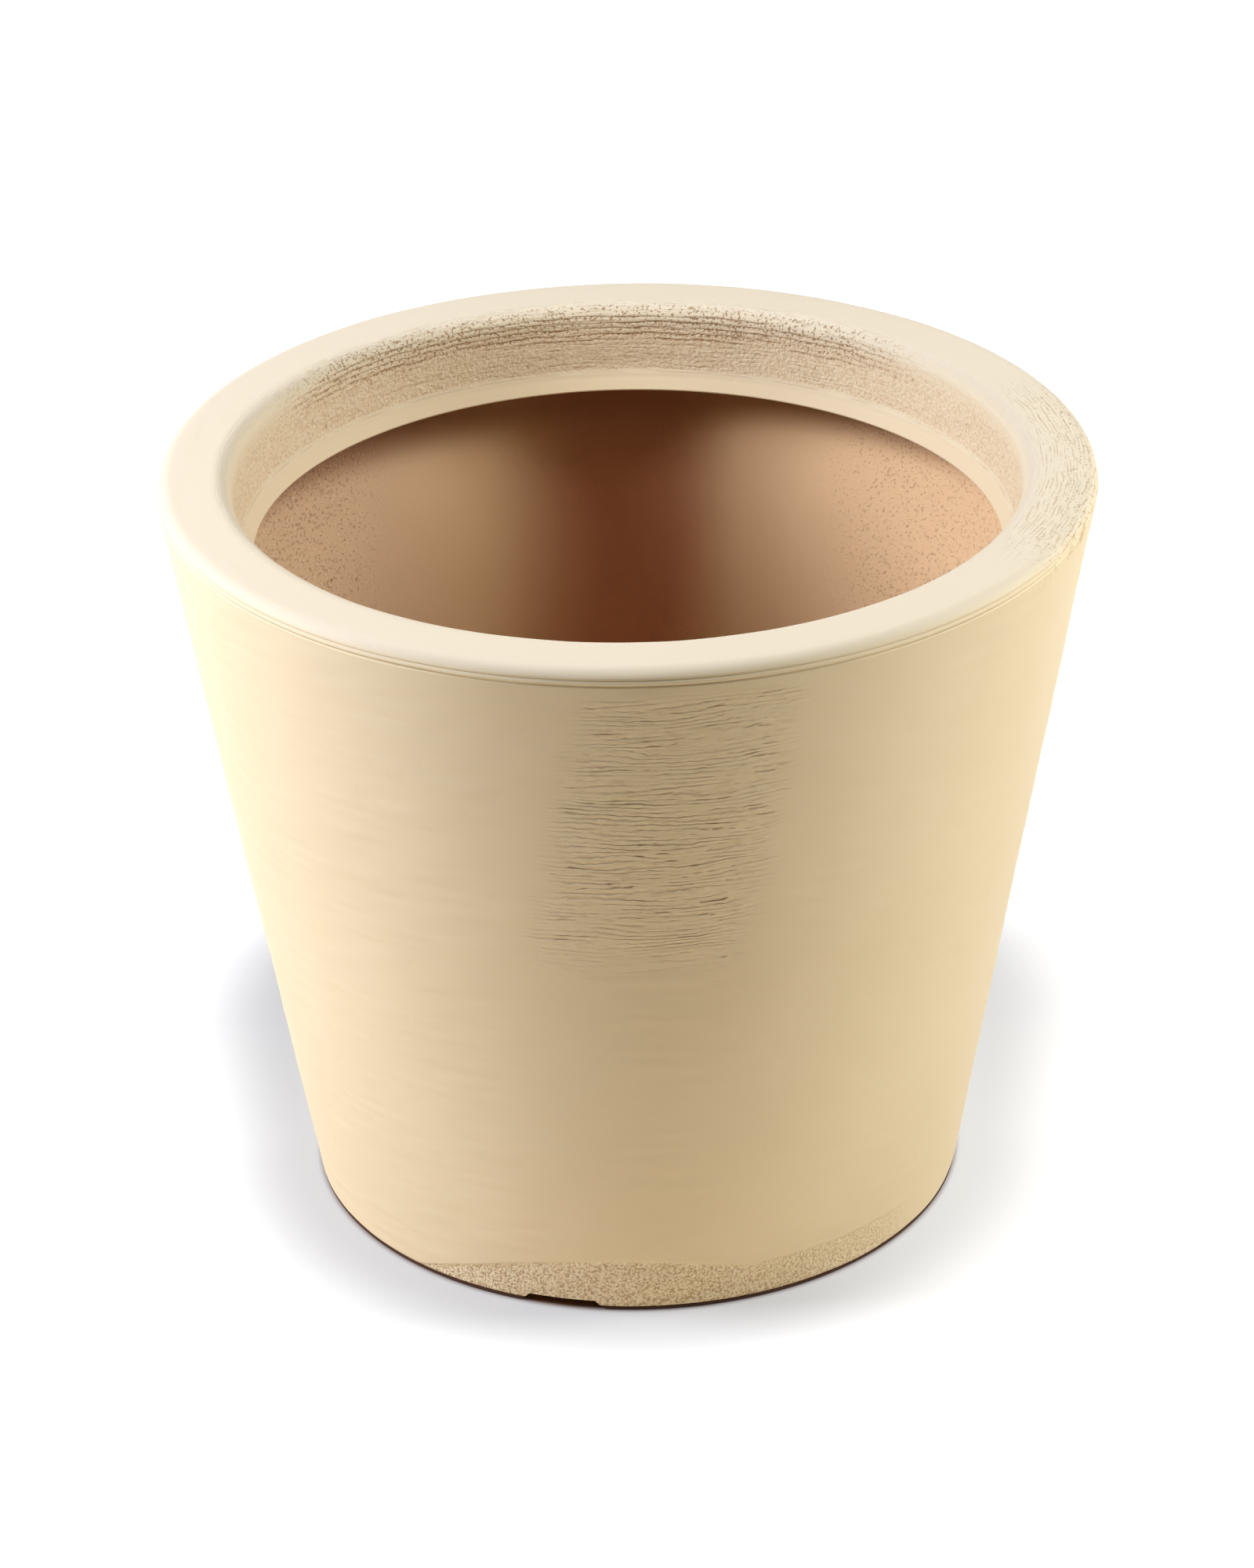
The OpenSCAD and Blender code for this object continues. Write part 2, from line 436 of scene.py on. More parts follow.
def along(tree, place, across, length, pitch):
    """Coordinates in which a feature is length long round the pot and pitch wide across it."""
    x, y, _ = tree.split(place)
    return tree.vector(x / length, y / length, across / pitch)


def right_and_front(tree, place):
    """How far a point lies to the right and to the front of the axis, as the pot stands in the photograph."""
    x, y, _ = tree.split(place)
    right = x * math.cos(camera_turn) + y * math.sin(camera_turn)
    front = x * math.sin(camera_turn) - y * math.cos(camera_turn)
    return right, front


def distance(a, b):
    return (a * a + b * b).maths("SQRT")


def ridges(turns):
    """Narrow ridges, one at each whole number of turns."""
    wave = (turns * (2 * math.pi)).maths("SINE") * 0.5 + 0.5
    return wave * wave * wave


# Patterns of the cream shell

class ShellFace:
    """Where a point of the outer shell lies, and which of the shell's faces it is on."""

    def __init__(self, tree):
        self.tree = tree
        self.place = object_place(tree)
        x, y, self.z = tree.split(self.place)
        self.across = attribute(tree, "across")
        self.right, self.front = right_and_front(tree, self.place)
        self.radius = distance(x, y)
        texture = attribute(tree, "texture")
        self.outside = (self.radius - self.z * math.tan(wall_lean) - base_r).above(-6 * MM, -4 * MM)
        self.inside = self.radius.above(lip_edge_r + 4 * MM, lip_edge_r)
        self.wall = self.outside * texture.above(0.55, 0.95)
        self.collar = self.z.above(bead_top[1], bead_top[1] + 3 * MM) * texture.above(0.35, 0.6) * self.inside
        self.rear = (self.front + self.right * 0.12).above(-80 * MM, -140 * MM)

    def grain(self, scale, detail, roughness, seed):
        """Noise that is alike in every direction."""
        return self.tree.noise(self.place, scale, detail, roughness, seed=seed)

    def streaks(self, length, pitch, detail, roughness, seed):
        """Noise drawn out round the pot, with features length long and pitch wide."""
        drawn = along(self.tree, self.place, self.across, length, pitch)
        return self.tree.noise(drawn, 1, detail, roughness, seed=seed)


def combing(face):
    """Wavy combing: how broken it is, its strokes, the cracks in them and the crests between them, where
    highlights are painted.
    """
    warp = face.streaks(60 * MM, 15 * MM, 2, 0.5, 1.7) - 0.5
    broken = face.streaks(20 * MM, 3 * MM, 3, 0.65, 5.2).above(0.38, 0.6)
    wiggle = face.streaks(5 * MM, 2 * MM, 2, 0.6, 6.9) - 0.5
    turns = face.across / comb_pitch + warp * 6 + wiggle * 0.9
    lines = ridges(turns)
    cracks = lines * lines * face.streaks(16 * MM, 3 * MM, 2, 0.6, 8.4).above(0.58, 0.67)
    crests = ridges(turns + 0.36) * broken
    return broken, lines * broken, cracks, crests


def combed_area(face):
    """Where the wall is combed: the front above half height, and faint patches behind."""
    z = face.z
    patches = (face.grain(8, 1, 0.5, 3.1).above(0.5, 0.68) * z.above(80 * MM, 140 * MM)
               * face.front.above(30 * MM, -40 * MM))
    off_middle = face.right - 8 * MM - (z - 230 * MM) * 0.18
    front = face.front.above(60 * MM, 150 * MM) * off_middle.within(54 * MM, 32 * MM)
    combed = (front * z.above(172 * MM, 205 * MM)).most(patches * 0.35)
    return combed * face.wall * z.above(326 * MM, 318 * MM)


def lip_marks(face):
    """Crumbly creases and pits under the lip at the back, and the crumbs that break them up."""
    z = face.z
    crumbs = face.grain(780, 1, 0.6, 23.1)
    warp = face.grain(60, 2, 0.6, 19.4) - 0.5
    broken = face.streaks(40 * MM, 3 * MM, 2, 0.7, 20.7).above(0.38, 0.56)
    level = z + warp * (3 * MM) + (crumbs - 0.5) * (1.4 * MM)
    creases = (ridges(level / crease_pitch) * broken * face.inside * face.rear
               * z.above(316 * MM, 323 * MM) * z.above(334.5 * MM, 331 * MM))
    pits = (crumbs.above(0.56, 0.66) * face.inside * face.rear
            * z.above(318 * MM, 327 * MM) * z.above(335.9 * MM, 334 * MM))
    return creases, pits, crumbs


def foot_pebbles(face, grain, coarse_grain):
    """Pebbled grain, and how strongly it shows in a band along the foot at the front."""
    tree, z, right = face.tree, face.z, face.right
    off_middle = right + 6 * MM
    band_top = (foot_band_h - off_middle * off_middle * 3.1).most(right.above(20 * MM, 55 * MM) * (19 * MM))
    band = ((z - band_top).above(1.5 * MM, -1 * MM) * face.front.above(20 * MM, 60 * MM)
            * right.above(122 * MM, 98 * MM) * face.outside)
    band = band * (1.1 - right.above(30 * MM, 85 * MM) * 0.45)
    swayed = tree.node("ShaderNodeVectorMath", {"operation": "ADD"},
                       {0: face.place, 1: tree.vector(grain * MM, coarse_grain * MM, grain * MM)})
    lowest = (z - band_top * 0.5).above(4 * MM, -6 * MM)
    pebbles = tree.noise(swayed, 880, 1, 0.6, seed=4.9) + (face.grain(580, 1, 0.6, 6.1) - 0.5) * lowest * 0.7
    return pebbles, band


def rim_sweep(face):
    """Fine lines that sweep over the right of the rim, and pits towards its edge."""
    tree, z, front = face.tree, face.z, face.front
    sweep = face.radius - z * 0.3
    drift = tree.noise(tree.vector(sweep / (9 * MM), front / (34 * MM), 0.0), 1, 2, 0.6, seed=15.3) - 0.5
    rubbed = tree.noise(tree.vector(sweep / (2 * MM), front / (11 * MM), 0.0), 1, 2, 0.65, seed=18.8)
    area = (face.right.above(140 * MM, 162 * MM) * (front - 15 * MM).within(105 * MM, 60 * MM)
            * z.above(318 * MM, 328 * MM) * face.radius.above(lip_edge_r - 3 * MM, lip_edge_r + 2 * MM))
    lines = ridges(sweep / sweep_pitch + drift * 4)
    lines = lines * lines * rubbed.above(0.42, 0.58) * area
    pits = (face.grain(740, 1, 0.6, 16.1).above(0.58, 0.66) * area
            * (face.radius.above(178 * MM, 195 * MM) * 0.8 + 0.2) * z.above(318 * MM, 326 * MM))
    return lines, pits


def seam_lines(face):
    """The two seam lines under the rim, where they face the front."""
    lines = 0.0
    for i in range(seam_count):
        lines = lines + (face.z - (pot_h - seam_drop - i * seam_pitch)).within(0.7 * MM, 0.1 * MM)
    return lines * face.radius.above(190 * MM, 194 * MM) * face.front.above(40 * MM, 130 * MM)


# Materials

def cream_skin():
    """Cream moulded plastic: combed front, crumbly lip, swept rim, pebbled foot and sandy collar, with
    painted light on the rim top and painted highlights and shade in the fine relief.
    """
    material, tree, shader = new_material("cream_combed_plastic")
    face = ShellFace(tree)
    z, inside = face.z, face.inside
    grain = face.grain(900, 2, 0.6, 4.4)
    coarse_grain = face.grain(680, 2, 0.6, 6.6)
    fine_lines = face.streaks(7 * MM, 1 * MM, 2, 0.6, 2.9)
    broken, strokes, cracks, crests = combing(face)
    combed = combed_area(face)
    torn = combed * (0.75 + z.above(205 * MM, 220 * MM) * z.above(290 * MM, 265 * MM) * 0.35)
    collar_combed = face.collar * (face.rear * 0.8 + 0.2)
    creases, lip_pits, crumbs = lip_marks(face)
    pebbles, foot_band = foot_pebbles(face, grain, coarse_grain)
    sandy = face.collar * z.above(331 * MM, 322 * MM) * 0.7
    crevices = coarse_grain.above(0.51, 0.39)
    pits = face.grain(330, 0, 0.5, 9.9).above(0.76, 0.82)
    sweeping, rim_pits = rim_sweep(face)

    height = ((strokes * 0.34 + cracks * 0.52) * torn * (-1 * MM) - strokes * collar_combed * (0.14 * MM)
              - pebbles * foot_band * (0.9 * MM)
              + (fine_lines - 0.5) * (combed * (0.26 * MM) + face.collar * (0.22 * MM))
              + (grain - 0.5) * (0.012 * MM + sandy * (0.2 * MM))
              + (coarse_grain - 0.5) * sandy * (0.9 * MM)
              + pits * (sandy + 0.15) * (-0.25 * MM)
              - (sweeping + rim_pits) * (0.07 * MM) - creases * (0.4 * MM) - lip_pits * (0.3 * MM))

    # Paler and warmer parts of the cream: painted light on the rim top and the lip inside it; painted
    # highlights on the raised grain of the collar, the combing's crests and the foot's pebbles; the collar
    # and the bead warmer and darker, the collar more so further down
    base = tree.mix(face.grain(14, 2, 0.5, 7.3), colour(0.745, 0.638, 0.425), colour(0.785, 0.684, 0.478))
    rim_top_light = z.above(330 * MM, 335.5 * MM).most(inside * z.above(318 * MM, 334 * MM) * 0.4)
    bead = (1 - face.outside) * z.above(bead_top[1] + 1 * MM, bead_top[1] - 1 * MM)
    grain_highlight = colour(0.88, 0.80, 0.62)
    for share, tint in (
        (rim_top_light * 0.75, colour(0.79, 0.70, 0.54)),
        (face.collar * z.above(332 * MM, 322 * MM) * 0.25, colour(0.72, 0.48, 0.24)),
        (bead * 0.4, colour(0.70, 0.52, 0.30)),
        (coarse_grain.above(0.52, 0.62) * sandy * 0.4, grain_highlight),
        (crests * torn * 0.35, colour(0.90, 0.82, 0.62)),
        (pebbles.above(0.5, 0.36) * foot_band * 0.65, colour(0.90, 0.83, 0.63)),
    ):
        base = tree.mix(share, base, tint)

    # Brown in what is hollow: partly dirt, and partly painted shade in the grooves, cracks, creases, pits,
    # crevices and seams
    bead_line = (z - bead_top[1] - 0.6 * MM).within(0.7 * MM, 0.1 * MM) * inside * broken
    dirt_and_shade = ((strokes * 0.265 + cracks * 0.6) * torn
            + fine_lines.above(0.5, 0.7) * (combed * 0.24 + collar_combed * 0.2)
            + strokes * collar_combed * 0.15
            + creases * (0.3 + crumbs.above(0.42, 0.56) * 0.6) + lip_pits * 0.8
            + sandy * 0.04 + crevices * sandy * 0.33 + pits * sandy * 0.4
            + pebbles.above(0.5, 0.62) * foot_band * 0.55
            + sweeping * 0.52 + rim_pits * 0.6 + seam_lines(face) * 0.2 + bead_line * 0.3)
    base = tree.mix(dirt_and_shade.least(0.8), base, colour(0.38, 0.21, 0.085))
    finish_material(tree, shader, base, 0.62, height, specular=0.3)
    return material


def terracotta_lining():
    """Matt terracotta-coloured plastic: speckled flanks with painted glints, painted light on the paler
    walls, painted shade in the dark middle and under the collar, and a painted contact shadow at the foot.
    """
    material, tree, shader = new_material("terracotta_plastic")
    place = object_place(tree)
    _, _, z = tree.split(place)
    right, front = right_and_front(tree, place)
    grain = tree.noise(place, 850, 2, 0.6, seed=11.2)
    broad = tree.noise(place, 12, 2, 0.5, seed=13.1)
    flanks = (right + 12 * MM).maths("ABSOLUTE").above(88 * MM, 130 * MM)
    flanks = flanks * (right.above(40 * MM, -40 * MM) * 0.45 + 0.9)
    specks = tree.noise(place, 620, 1, 0.6, seed=12.6).above(0.56, 0.68) * flanks
    glints = tree.noise(place, 760, 1, 0.6, seed=14.2).above(0.56, 0.68) * flanks
    pits = tree.noise(place, 380, 1, 0.5, seed=17.4).above(0.70, 0.76) * (flanks * 0.9 + 0.1)

    # Painted shade in the dark middle of the back wall, and painted light on the paler walls beside it: paler
    # higher up, and a little less pale at the far left
    swayed = right + (broad - 0.5) * (22 * MM)
    shaded_middle = (swayed.above(56 * MM, 10 * MM) * swayed.above(-69 * MM, -9 * MM)
            * front.above(-20 * MM, -130 * MM) * z.above(20 * MM, 180 * MM))
    dark = tree.mix(broad, colour(0.49, 0.225, 0.12), colour(0.53, 0.26, 0.15))
    pale = tree.mix(z.above(10 * MM, 165 * MM), colour(0.53, 0.30, 0.17), colour(0.735, 0.505, 0.285))
    far_left = right.above(-60 * MM, -120 * MM) * z.above(60 * MM, 190 * MM)
    pale = tree.mix(far_left, pale, colour(0.605, 0.415, 0.25))
    base = tree.mix(shaded_middle, pale, dark)

    # Painted shadow under the collar, and painted shade at the top of the dark middle, both in deep brown
    collar_shadow = (z - right.above(25 * MM, 75 * MM) * (6 * MM)).above(264 * MM, 283 * MM)
    shadow_brown = colour(0.25, 0.10, 0.04)
    for share, tint in (
        (shaded_middle * z.above(238 * MM, 268 * MM) * 0.4, shadow_brown),
        (collar_shadow * 0.7, shadow_brown),
        # painted glints: lighter specks on the lit flanks
        (glints * 0.3, colour(0.78, 0.56, 0.38)),
        ((specks * 0.28 + pits * 0.5).least(0.8), colour(0.25, 0.12, 0.055)),
        # painted contact shadow: the lowest 3 to 6 mm almost black-brown
        (z.above(6 * MM, 3 * MM), colour(0.06, 0.024, 0.013)),
    ):
        base = tree.mix(share, base, tint)
    height = (grain - 0.5) * (0.06 * MM + flanks * (0.14 * MM)) - specks * (0.2 * MM) - pits * (0.2 * MM)
    finish_material(tree, shader, base, 0.7, height, specular=0.25)
    return material


def plug_rubber():
    """Matt dark rubber with a faint bloom and fine mould grain."""
    material, tree, shader = new_material("plug_rubber")
    place = object_place(tree)
    grain = tree.noise(place, 1600, 2, 0.6, seed=21.5)
    bloom = tree.noise(place, 180, 3, 0.6, seed=22.3)
    base = tree.mix(bloom, colour(0.035, 0.03, 0.027), colour(0.075, 0.066, 0.058))
    finish_material(tree, shader, base, 0.55 + bloom * 0.25, (grain - 0.5) * (0.06 * MM), specular=0.3)
    return material


# Turned pieces, made by geometry nodes from their sections

def pressed(noise):
    """The part of a noise that marks the surface; the rest stays at the moulded face."""
    return (noise - 0.3).most(0.0)


def turning_tree():
    """Geometry nodes that turn a section round the axis and press the combed relief into it."""
    group = bpy.data.node_groups.new("turned_relief", "GeometryNodeTree")
    sockets = {}
    for name, kind, direction in (
        ("Geometry", "NodeSocketGeometry", "INPUT"), ("Columns", "NodeSocketInt", "INPUT"),
        ("Stroke length", "NodeSocketFloat", "INPUT"), ("Stroke width", "NodeSocketFloat", "INPUT"),
        ("Stroke depth", "NodeSocketFloat", "INPUT"), ("Swell depth", "NodeSocketFloat", "INPUT"),
        ("Seed", "NodeSocketFloat", "INPUT"), ("Material", "NodeSocketMaterial", "INPUT"),
        ("Geometry", "NodeSocketGeometry", "OUTPUT"),
    ):
        item = group.interface.new_socket(name, in_out=direction, socket_type=kind)
        sockets[(name, direction)] = item.identifier
    tree = Tree(group)
    given = group.nodes.new("NodeGroupInput")
    value = {o.name: Socket(tree, o) for o in given.outputs}
    section = value["Geometry"]

    rows = tree.node("GeometryNodeAttributeDomainSize", {"component": "MESH"}, [section])
    grid = tree.node("GeometryNodeMeshGrid", None,
                     {"Vertices X": value["Columns"] + 1, "Vertices Y": rows})
    index = tree.node("GeometryNodeInputIndex")
    row = index.maths("MODULO", rows)
    column = (index / rows).maths("FLOOR")
    angle = column / value["Columns"] * (2 * math.pi)

    def from_section(kind, field):
        return tree.node("GeometryNodeSampleIndex", {"data_type": kind, "domain": "POINT"},
                         {"Geometry": section, "Value": field, "Index": row})

    radius, _, height = tree.split(from_section("FLOAT_VECTOR", tree.node("GeometryNodeInputPosition")))
    turned = tree.vector(radius * angle.maths("COSINE"), radius * angle.maths("SINE"), height)
    mesh = tree.node("GeometryNodeSetPosition", None, {"Geometry": grid, "Position": turned})
    for name in ("across", "texture"):
        field = tree.node("GeometryNodeInputNamedAttribute", {"data_type": "FLOAT"}, {"Name": name})
        mesh = tree.node("GeometryNodeStoreNamedAttribute", {"data_type": "FLOAT", "domain": "POINT"},
                         {"Geometry": mesh, "Name": name, "Value": from_section("FLOAT", field)})
    mesh = tree.node("GeometryNodeMergeByDistance", None, {"Geometry": mesh, "Distance": 0.01 * MM})

    place = tree.node("GeometryNodeInputPosition")
    across, texture = (tree.node("GeometryNodeInputNamedAttribute", {"data_type": "FLOAT"}, {"Name": name})
                       for name in ("across", "texture"))
    drawn = along(tree, place, across, value["Stroke length"], value["Stroke width"])
    strokes = tree.noise(drawn, 1, 1, 0.5, seed=value["Seed"])
    swell = tree.noise(place, 16, 1, 0.5, seed=value["Seed"])
    depth = (pressed(strokes) * value["Stroke depth"] + pressed(swell) * value["Swell depth"]) * texture * -1
    normal = tree.node("GeometryNodeInputNormal")
    offset = tree.node("ShaderNodeVectorMath", {"operation": "SCALE"}, {0: normal, "Scale": depth})
    mesh = tree.node("GeometryNodeSetPosition", None, {"Geometry": mesh, "Offset": offset})
    mesh = tree.node("GeometryNodeSetShadeSmooth", None, [mesh])
    mesh = tree.node("GeometryNodeRealizeInstances", None, [mesh])
    mesh = tree.node("GeometryNodeSetMaterial", None, {"Geometry": mesh, "Material": value["Material"]})
    out = group.nodes.new("NodeGroupOutput")
    group.links.new(mesh.link, out.inputs[0])
    return group, sockets


def link(piece):
    bpy.context.scene.collection.objects.link(piece)
    return piece


def section_mesh(name, section):
    """The section as a chain of edges, with its running length and its texture on the points."""
    mesh = bpy.data.meshes.new(name)
    rows = section.rows
    if sum(a[0] * b[1] - a[1] * b[0] for a, b in zip(rows, rows[1:] + rows[:1])) < 0:
        rows = rows[::-1]
    mesh.from_pydata([(r, 0, z) for r, z, _ in rows], [(i, i + 1) for i in range(len(rows) - 1)], [])
    across = [0.0]
    for a, b in zip(rows, rows[1:]):
        across.append(across[-1] + math.hypot(b[0] - a[0], b[1] - a[1]))
    mesh.attributes.new("across", "FLOAT", "POINT").data.foreach_set("value", across)
    mesh.attributes.new("texture", "FLOAT", "POINT").data.foreach_set("value", [t for _, _, t in rows])
    return mesh


def outward(mesh):
    """Turns a closed mesh's faces outwards."""
    work = bmesh.new()
    work.from_mesh(mesh)
    bmesh.ops.recalc_face_normals(work, faces=work.faces)
    work.to_mesh(mesh)
    work.free()


def make_plain(piece):
    """Turns a piece and its modifiers into a plain mesh."""
    evaluated = piece.evaluated_get(bpy.context.evaluated_depsgraph_get())
    mesh = bpy.data.meshes.new_from_object(evaluated)
    piece.modifiers.clear()
    mesh.name = piece.name
    piece.data = mesh


def turned(name, section, material, columns, length=1.0, width=1.0, depth=0.0, swell=0.0, seed=0.0):
    """A turned piece as a plain mesh."""
    piece = link(bpy.data.objects.new(name, section_mesh(name + "_section", section)))
    modifier = piece.modifiers.new("turned_relief", "NODES")
    modifier.node_group = turning
    for socket, value in (("Columns", columns), ("Stroke length", length), ("Stroke width", width),
                          ("Stroke depth", depth), ("Swell depth", swell), ("Seed", seed),
                          ("Material", material)):
        modifier[turning_sockets[(socket, "INPUT")]] = value
    make_plain(piece)
    outward(piece.data)
    return piece


def smoothed(piece, material, sharp=35):
    """One material and smooth shading all over; edges sharper than an angle in degrees stay crisp."""
    piece.data.materials.clear()
    piece.data.materials.append(material)
    for polygon in piece.data.polygons:
        polygon.material_index = 0
        polygon.use_smooth = True
    piece.data.set_sharp_from_angle(angle=math.radians(sharp))
    return piece


# Cuts

def prism(outline, x0, x1):
    """Closed mesh of an outline in Y and Z that runs along X."""
    work = bmesh.new()
    ends = [[work.verts.new((x, y, z)) for y, z in outline] for x in (x0, x1)]
    work.faces.new(ends[0])
    work.faces.new(ends[1])
    for i in range(len(outline)):
        j = (i + 1) % len(outline)
        work.faces.new((ends[0][i], ends[0][j], ends[1][j], ends[1][i]))
    bmesh.ops.recalc_face_normals(work, faces=work.faces)
    return work


def notch_outline():
    """Notch in the foot, wider at the ground, with its upper corners rounded."""
    half, top = notch_w / 2, notch_top_w / 2
    below = -5 * MM
    slope = math.atan2(notch_h, half - top)
    reach = notch_round / math.tan((math.pi - slope) / 2)
    right = [(half, below), (half, 0)]
    centre = (top - reach, notch_h - notch_round)
    right += arc_points(centre, notch_round, UP - slope, UP, 0.4 * MM)
    left = [(-y, z) for y, z in reversed(right)]
    return right + left


def drain_turn(i):
    return Matrix.Rotation(first_drain_a + i * 2 * math.pi / drain_count, 4, "Z")


def at_drains(mesh):
    """One object with a copy of the mesh at each drain."""
    work = bmesh.new()
    for i in range(drain_count):
        copy = mesh.copy()
        copy.transform(drain_turn(i))
        work.from_mesh(copy)
        bpy.data.meshes.remove(copy)
    tool = bpy.data.meshes.new(mesh.name)
    work.to_mesh(tool)
    work.free()
    return link(bpy.data.objects.new(mesh.name, tool))


def notches():
    """The foot notches as solid bars that run out past both faces of the wall."""
    past = 5 * MM
    mesh = bpy.data.meshes.new("notches")
    prism(notch_outline(), ring_in_r - past, base_r + past).to_mesh(mesh)
    return at_drains(mesh)


def drains():
    """The drain holes with their seats as stepped discs."""
    above, below = floor_z + 5 * MM, -5 * MM
    section = Section(0, above)
    for r, z in ((seat_r, above), (seat_r, seat_z), (hole_r, seat_z), (hole_r, below), (0, below)):
        section.line(r, z, 5 * MM)
    disc = turned("drains", section, terracotta, 64)
    disc.data.transform(Matrix.Translation((drain_r, 0, 0)))
    tool = at_drains(disc.data)
    bpy.data.objects.remove(disc)
    return tool


def cut(piece, tool):
    """Cuts the tool out of the piece and deletes the tool."""
    modifier = piece.modifiers.new("cut", "BOOLEAN")
    modifier.operation = "DIFFERENCE"
    modifier.solver = "MANIFOLD"
    modifier.object = tool
    make_plain(piece)
    bpy.data.objects.remove(tool)


# Plugs

def corner_width(z):
    """Half width of the tab at height z, drawn in round its upper corners."""
    past_corner = max(0.0, z - (flange_t + tab_h - tab_round))
    return tab_w / 2 - tab_round + math.sqrt(max(tab_round ** 2 - past_corner ** 2, 0))


def tab_rings():
    """Rings of the pull tab from foot to top: height, half width and half thickness."""
    flare = 1.6 * MM
    rings = []
    for share in (0, 0.35, 0.65, 0.85, 1):
        spread = flare * (1 - math.sqrt(1 - (1 - share) ** 2))
        z = flange_t - edge_round + share * (flare + edge_round)
        rings.append((z, tab_w / 2 + spread, tab_t / 2 + spread))
    top = flange_t + tab_h
    grip_low, grip_high = flange_t + 2.4 * MM, top - 2.2 * MM
    grip_count, grip_depth = 4, 0.35 * MM
    steps = 8 * grip_count
    for i in range(steps + 1):
        z = grip_low + (grip_high - grip_low) * i / steps
        swell = grip_depth * math.sin(math.pi * grip_count * i / steps) ** 2
        rings.append((z, corner_width(z), tab_t / 2 + swell))
    top_round, top_steps = 1.4 * MM, 6
    for i in range(top_steps + 1):
        a = UP * i / top_steps
        z = top - top_round + top_round * math.sin(a)
        inset = top_round * (1 - math.cos(a))
        rings.append((z, corner_width(z) - inset / 2, tab_t / 2 - inset * 0.95))
    return rings


def soft_square(share, power):
    """A sine or cosine pushed out towards 1 and -1, which turns an ellipse into a soft rectangle."""
    return math.copysign(abs(share) ** power, share)


def pull_tab():
    """Closed mesh of the pull tab, across X."""
    corners = 40
    work = bmesh.new()
    rings = []
    for z, half_w, half_t in tab_rings():
        ring = []
        for i in range(corners):
            a = 2 * math.pi * i / corners
            x = half_t * soft_square(math.cos(a), 0.55)
            y = half_w * soft_square(math.sin(a), 0.3)
            ring.append(work.verts.new((x, y, z)))
        rings.append(ring)
    for a, b in zip(rings, rings[1:]):
        for i in range(corners):
            j = (i + 1) % corners
            work.faces.new((a[i], a[j], b[j], b[i]))
    work.faces.new(rings[0])
    work.faces.new(rings[-1])
    bmesh.ops.recalc_face_normals(work, faces=work.faces)
    return work


def drain_plug(i, side, material):
    """Rubber plug in drain hole number i."""
    piece = turned(side + "_rubber_plug", plug_section(), material, 96)
    tab = bpy.data.meshes.new("tab")
    pull_tab().to_mesh(tab)
    work = bmesh.new()
    work.from_mesh(piece.data)
    work.from_mesh(tab)
    work.to_mesh(piece.data)
    work.free()
    bpy.data.meshes.remove(tab)
    piece.data.transform(drain_turn(i) @ Matrix.Translation((drain_r, 0, seat_z)))
    smoothed(piece, material, 50)
    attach(piece, "plug_" + side)
    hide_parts("drain_plug_" + side)


# The object

turning, turning_sockets = turning_tree()
cream = cream_skin()
terracotta = terracotta_lining()
rubber = plug_rubber()

outer = turned("combed_outer_shell", outer_section(), cream, 248,
               length=28 * MM, width=5.5 * MM, depth=0.7 * MM, swell=1 * MM, seed=2.0)
cut(outer, notches())
smoothed(outer, cream)
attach(outer, "pot")
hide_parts("outer_shell")

inner = turned("terracotta_lining", inner_section(), terracotta, 200,
               length=60 * MM, width=30 * MM, depth=0.3 * MM, swell=0.9 * MM, seed=5.0)
cut(inner, notches())
cut(inner, drains())
smoothed(inner, terracotta)
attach(inner, "pot")
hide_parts("inner_shell")

for i, side in enumerate(("front", "right", "left")):
    drain_plug(i, side, rubber)


# Stage, light and camera

def seen_directly(tree):
    """1 for rays that show the background itself: camera, mirror and glass rays."""
    path = tree.node("ShaderNodeLightPath").link.node
    camera, glossy, through = (Socket(tree, path.outputs[name])
                               for name in ("Is Camera Ray", "Is Glossy Ray", "Is Transmission Ray"))
    return camera.most(glossy).most(through)


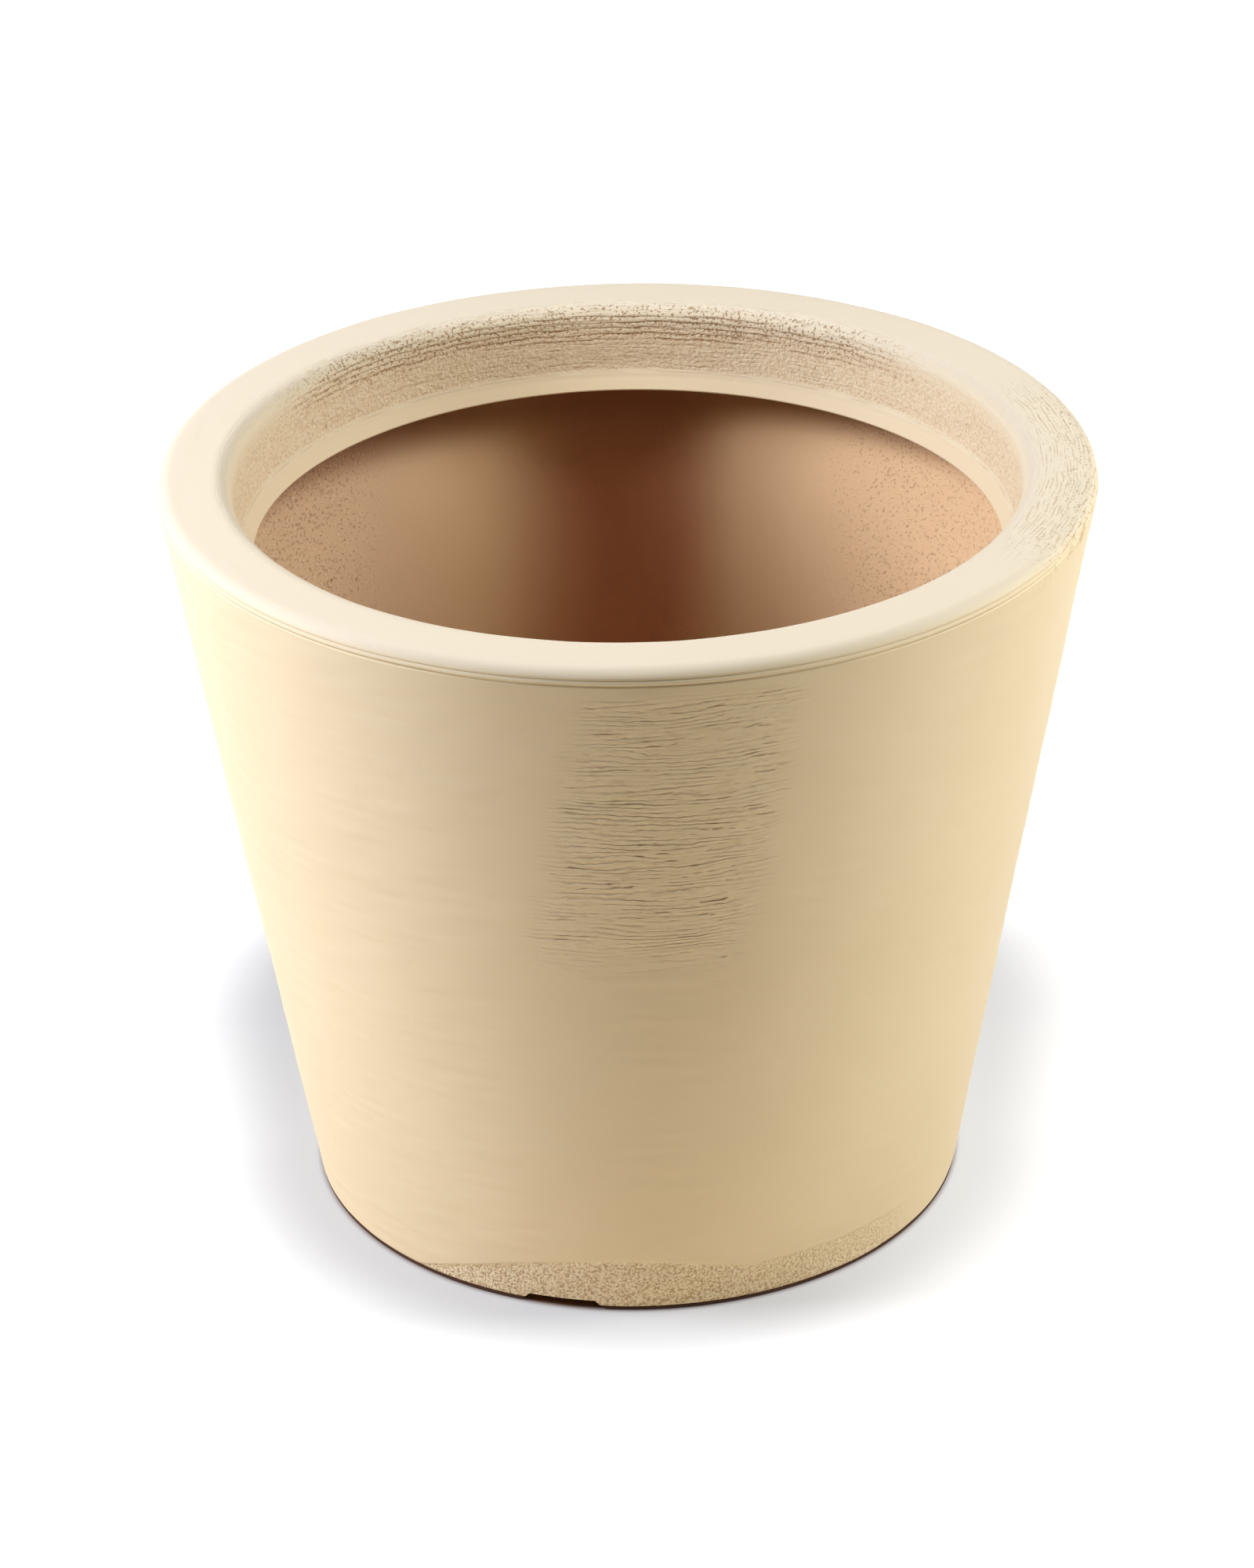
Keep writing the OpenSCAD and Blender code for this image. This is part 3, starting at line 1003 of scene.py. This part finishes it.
def white_floor():
    """A pale floor that looks white, with a painted shadow: its glow is turned down to a soft grey pool round
    the pot's foot, where the lamps' real shadow also shows, and the floor under the pot is painted dark
    brown.
    """
    mesh = bpy.data.meshes.new("floor")
    half = 20
    mesh.from_pydata([(-half, -half, 0), (half, -half, 0), (half, half, 0), (-half, half, 0)],
                     [], [(0, 1, 2, 3)])
    floor = link(bpy.data.objects.new("floor", mesh))
    material = bpy.data.materials.new("white_floor")
    material.use_nodes = True
    tree = Tree(material.node_tree)
    material.node_tree.nodes.clear()
    place = object_place(tree)
    x, y, _ = tree.split(place)
    right, front = right_and_front(tree, place)
    clear = distance(x, y).above(base_r - 3 * MM, base_r + 2 * MM)

    # How far the painted shadow pool reaches: drawn out behind the pot, where it also narrows, and a little
    # lighter to the right
    behind = 110 * MM
    past = front.most(0.0) + (-front - behind).most(0.0)
    reach = distance(right, past) + front.least(0.0).most(-behind) * 0.145
    glow_with_painted_pool = tree.mix(reach.above(150 * MM, 205 * MM), colour(0.33, 0.33, 0.34), colour(0.8, 0.8, 0.8))
    glow_with_painted_pool = tree.mix(right.above(40 * MM, 150 * MM) * 0.28, glow_with_painted_pool, colour(0.9, 0.9, 0.9))
    glow_with_painted_pool = tree.mix(reach.above(190 * MM, 260 * MM), glow_with_painted_pool, colour(1, 1, 1))
    # No glow under the pot, and the paper there painted dark brown as shade
    glow_with_painted_pool = tree.mix(clear, colour(0, 0, 0), glow_with_painted_pool)

    paper = tree.mix(clear, colour(0.22, 0.12, 0.07), colour(0.343, 0.350, 0.348))
    plain = tree.node("ShaderNodeBsdfDiffuse", None, {"Color": colour(0.86, 0.72, 0.55)})
    white = tree.node("ShaderNodeBsdfDiffuse", None, {"Color": paper})
    glow = tree.node("ShaderNodeEmission", None, {"Color": glow_with_painted_pool, "Strength": 1.0})
    shown = tree.node("ShaderNodeAddShader", None, [white, glow])
    both = tree.node("ShaderNodeMixShader", None, [seen_directly(tree), plain, shown])
    out = material.node_tree.nodes.new("ShaderNodeOutputMaterial")
    material.node_tree.links.new(both.link, out.inputs["Surface"])
    mesh.materials.append(material)


def pale_world():
    """Faint warm light from all round, in front of a white background."""
    world = bpy.data.worlds.new("studio")
    bpy.context.scene.world = world
    world.use_nodes = True
    world.node_tree.nodes.clear()
    tree = Tree(world.node_tree)
    fill = tree.node("ShaderNodeBackground", None, {"Color": colour(1, 0.8, 0.6), "Strength": 0.01})
    white = tree.node("ShaderNodeBackground", None, {"Color": colour(1, 1, 1), "Strength": 1.0})
    both = tree.node("ShaderNodeMixShader", None, [seen_directly(tree), fill, white])
    out = world.node_tree.nodes.new("ShaderNodeOutputWorld")
    world.node_tree.links.new(both.link, out.inputs["Surface"])


def softbox(name, turn, lift, width, height, watts, tint=(1, 1, 1)):
    """An area lamp aimed at the pot; turn is measured from the camera's side, to the right."""
    around, up = camera_turn + math.radians(turn), math.radians(lift)
    back = Vector((math.sin(around) * math.cos(up), -math.cos(around) * math.cos(up), math.sin(up)))
    lamp = bpy.data.lights.new(name, "AREA")
    lamp.shape = "RECTANGLE"
    lamp.size, lamp.size_y = width, height
    lamp.energy = watts
    lamp.color = tint
    lamp_object = link(bpy.data.objects.new(name, lamp))
    lamp_object.location = Vector((0, 0, pot_h * 0.7)) + back * lamp_distance
    lamp_object.rotation_euler = (-back).to_track_quat("-Z", "Y").to_euler()


def photo_camera():
    """The camera of the photograph."""
    camera = bpy.data.cameras.new("camera")
    camera.sensor_width = sensor
    camera.lens = camera_focal_px * sensor / photo_h_px
    camera.clip_start, camera.clip_end = 0.1, 100
    forward = Vector((math.sin(camera_pan) * math.cos(camera_pitch),
                      math.cos(camera_pan) * math.cos(camera_pitch), -math.sin(camera_pitch)))
    level = Vector((math.cos(camera_pan), -math.sin(camera_pan), 0))
    up = level.cross(forward)
    right = math.cos(camera_roll) * level + math.sin(camera_roll) * up
    up = -math.sin(camera_roll) * level + math.cos(camera_roll) * up
    turn = Matrix((right, up, -forward)).transposed().to_4x4()
    camera_object = link(bpy.data.objects.new("camera", camera))
    camera_object.matrix_world = (Matrix.Rotation(camera_turn, 4, "Z")
                                  @ Matrix.Translation((0, -camera_distance, camera_height)) @ turn)
    bpy.context.scene.camera = camera_object


white_floor()
pale_world()
softbox("left_softbox", -83.5, 32, 0.62, 0.7, watts=33.8, tint=(0.95, 0.965, 1.08))
softbox("right_softbox", 86, 35, 0.45, 0.85, watts=23.4)
softbox("low_card", 45, 2, 0.9, 0.35, watts=1.8, tint=(1.02, 1.0, 0.78))
photo_camera()
bpy.context.scene.view_settings.view_transform = "Standard"
